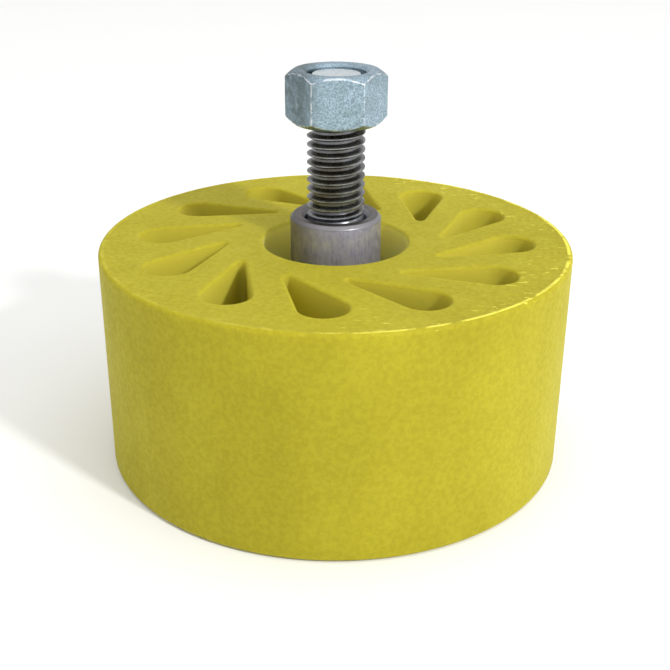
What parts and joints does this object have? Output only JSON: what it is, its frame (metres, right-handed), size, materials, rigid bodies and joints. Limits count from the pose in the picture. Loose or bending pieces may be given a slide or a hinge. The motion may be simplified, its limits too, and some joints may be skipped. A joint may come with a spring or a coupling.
{
  "type": "track roller",
  "caption": "Bolt-on track roller: a cast urethane body with swirled teardrop pockets turns on two sealed ball bearings round a clamped steel stack, through-bolt and nut.",
  "frame": {"origin": "centre of the roller's lower face, on the axle's axis", "axes": "+Z along the axle from the bolt's head towards the nut; -Y towards the side that a pocket's round end nearly faces"},
  "size_m": [0.1048, 0.1048, 0.0875],
  "materials": {
    "urethane": "satin cast polyurethane, mustard yellow",
    "hub_steel": "turned low-carbon steel tube",
    "bearing_steel": "fine-ground bearing steel",
    "ball_steel": "polished bearing steel",
    "cage_nylon": "moulded natural nylon",
    "seal_rubber": "moulded nitrile rubber",
    "spring_steel": "phosphated spring steel",
    "sleeve_steel": "turned and ground bare steel",
    "bolt_steel": "plain rolled-thread steel",
    "nut_zinc": "bright zinc plate with a bluish passivate"
  },
  "bodies": {
    "axle": {"axle_bolt": "bolt_steel", "head_spacer": "sleeve_steel", "lower_bearing_inner_ring": "bearing_steel", "bearing_spacer": "sleeve_steel", "upper_bearing_inner_ring": "bearing_steel", "mounting_sleeve": "sleeve_steel"},
    "roller": {"roller_body": "urethane", "hub_tube": "hub_steel", "lower_bearing_outer_ring": "bearing_steel", "upper_bearing_outer_ring": "bearing_steel", "lower_bearing_outboard_seal": "seal_rubber", "lower_bearing_inboard_seal": "seal_rubber", "upper_bearing_outboard_seal": "seal_rubber", "upper_bearing_inboard_seal": "seal_rubber", "lower_retaining_ring": "spring_steel", "upper_retaining_ring": "spring_steel"},
    "lower_ball_set": {"lower_bearing_balls": "ball_steel", "lower_bearing_cage": "cage_nylon"},
    "upper_ball_set": {"upper_bearing_balls": "ball_steel", "upper_bearing_cage": "cage_nylon"},
    "nut": {"hex_nut": "nut_zinc"}
  },
  "joints": [
    {"name": "roller_spin", "type": "hinge", "parent": "axle", "child": "roller", "pos_m": [0, 0, 0.025], "axis": [0, 0, 1], "continuous": true},
    {"name": "lower_balls_roll", "type": "hinge", "parent": "axle", "child": "lower_ball_set", "pos_m": [0, 0, 0.018], "axis": [0, 0, 1], "continuous": true},
    {"name": "upper_balls_roll", "type": "hinge", "parent": "axle", "child": "upper_ball_set", "pos_m": [0, 0, 0.032], "axis": [0, 0, 1], "continuous": true},
    {"name": "nut_run", "type": "slide", "parent": "axle", "child": "nut", "axis": [0, 0, 1], "range_m": [-0.0203, 0.012]}
  ],
  "couplings": [
    {"joint": "lower_balls_roll", "follows": "roller_spin", "ratio": 0.6332},
    {"joint": "upper_balls_roll", "follows": "roller_spin", "ratio": 0.6332}
  ]
}
